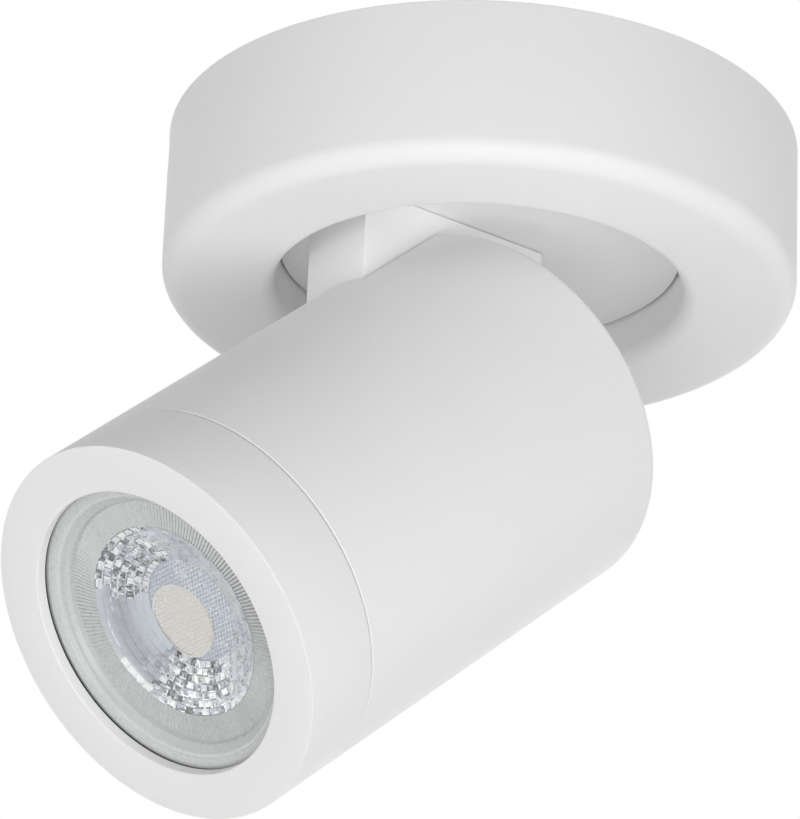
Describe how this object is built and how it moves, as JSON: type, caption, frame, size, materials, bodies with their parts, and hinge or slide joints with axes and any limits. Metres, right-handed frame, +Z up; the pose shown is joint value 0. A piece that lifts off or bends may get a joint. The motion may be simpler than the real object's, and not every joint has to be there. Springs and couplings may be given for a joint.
{
  "type": "ceiling spotlight",
  "caption": "Round surface mounted ceiling base with a recessed swivel disc and a slotted cylindrical lamp head that tilts on a flat arm, with a screw-on bezel ring.",
  "frame": {"origin": "middle of the base's face on the ceiling", "axes": "+Z up into the ceiling, the head points to -Y and down, the tilt hinge lies along X"},
  "size_m": [0.1, 0.127, 0.121],
  "materials": {
    "painted_white": "satin powder coat",
    "zinc_steel": "zinc plated",
    "brass": "bare",
    "terminal_plastic": "matte",
    "nylon": "matte",
    "fibre": "matte",
    "ceramic": "glazed ceramic",
    "black_rubber": "matte silicone",
    "lamp_body": "glossy",
    "clear_lens": "clear moulded polycarbonate",
    "board_aluminium": "white coated",
    "chip": "phosphor yellow",
    "board_green": "solder mask"
  },
  "bodies": {
    "base": {"base_cover": "painted_white", "mounting_bracket": "zinc_steel", "cover_screws": "painted_white", "terminal_block": "terminal_plastic", "terminal_clamps": "brass", "terminal_screws": "zinc_steel", "terminal_fixing_screws": "zinc_steel", "earth_screw": "brass", "earth_washer": "zinc_steel", "stop_pin": "zinc_steel"},
    "swivel": {"swivel_disc": "painted_white", "arm_screws": "zinc_steel", "hollow_bolt": "zinc_steel", "friction_washer": "nylon", "swivel_washer": "zinc_steel", "swivel_spring_washer": "zinc_steel", "swivel_nut": "zinc_steel", "tilt_arm": "painted_white"},
    "head": {"head_can": "painted_white", "pivot_bracket_left": "zinc_steel", "pivot_bracket_right": "zinc_steel", "bracket_screws": "zinc_steel", "pivot_screw": "zinc_steel", "pivot_friction_washers": "fibre", "pivot_spring_washer": "zinc_steel", "pivot_nut": "zinc_steel", "holder_strap": "zinc_steel", "strap_screws": "zinc_steel", "lampholder": "ceramic", "holder_screws": "zinc_steel", "holder_contacts": "brass"},
    "bezel_slide": {"bezel_gasket": "black_rubber"},
    "bezel": {"bezel_ring": "painted_white"},
    "lamp": {"lamp_housing": "lamp_body", "lamp_pins": "brass", "lamp_lens": "clear_lens", "lamp_board": "board_aluminium", "lamp_chip": "chip", "driver_board": "board_green"}
  },
  "joints": [
    {"name": "swivel", "type": "hinge", "parent": "base", "child": "swivel", "pos_m": [0, 0, 0], "axis": [0, 0, 1], "range_deg": [-170, 170]},
    {"name": "tilt", "type": "hinge", "parent": "swivel", "child": "head", "pos_m": [0, 0, -0.0484], "axis": [1, 0, 0], "range_deg": [0, 48.8]},
    {"name": "bezel_travel", "type": "slide", "parent": "head", "child": "bezel_slide", "axis": [0, -0.7524, -0.6587], "range_m": [0, 0.0075]},
    {"name": "bezel_turn", "type": "hinge", "parent": "bezel_slide", "child": "bezel", "pos_m": [0, 0, -0.0484], "axis": [0, -0.7524, -0.6587], "range_deg": [0, 1800]},
    {"name": "lamp_twist", "type": "hinge", "parent": "head", "child": "lamp", "pos_m": [0, 0, -0.0484], "axis": [0, -0.7524, -0.6587], "range_deg": [0, 22]}
  ],
  "couplings": [
    {"joint": "bezel_travel", "follows": "bezel_turn", "m_per_rad": 0.00023873}
  ]
}
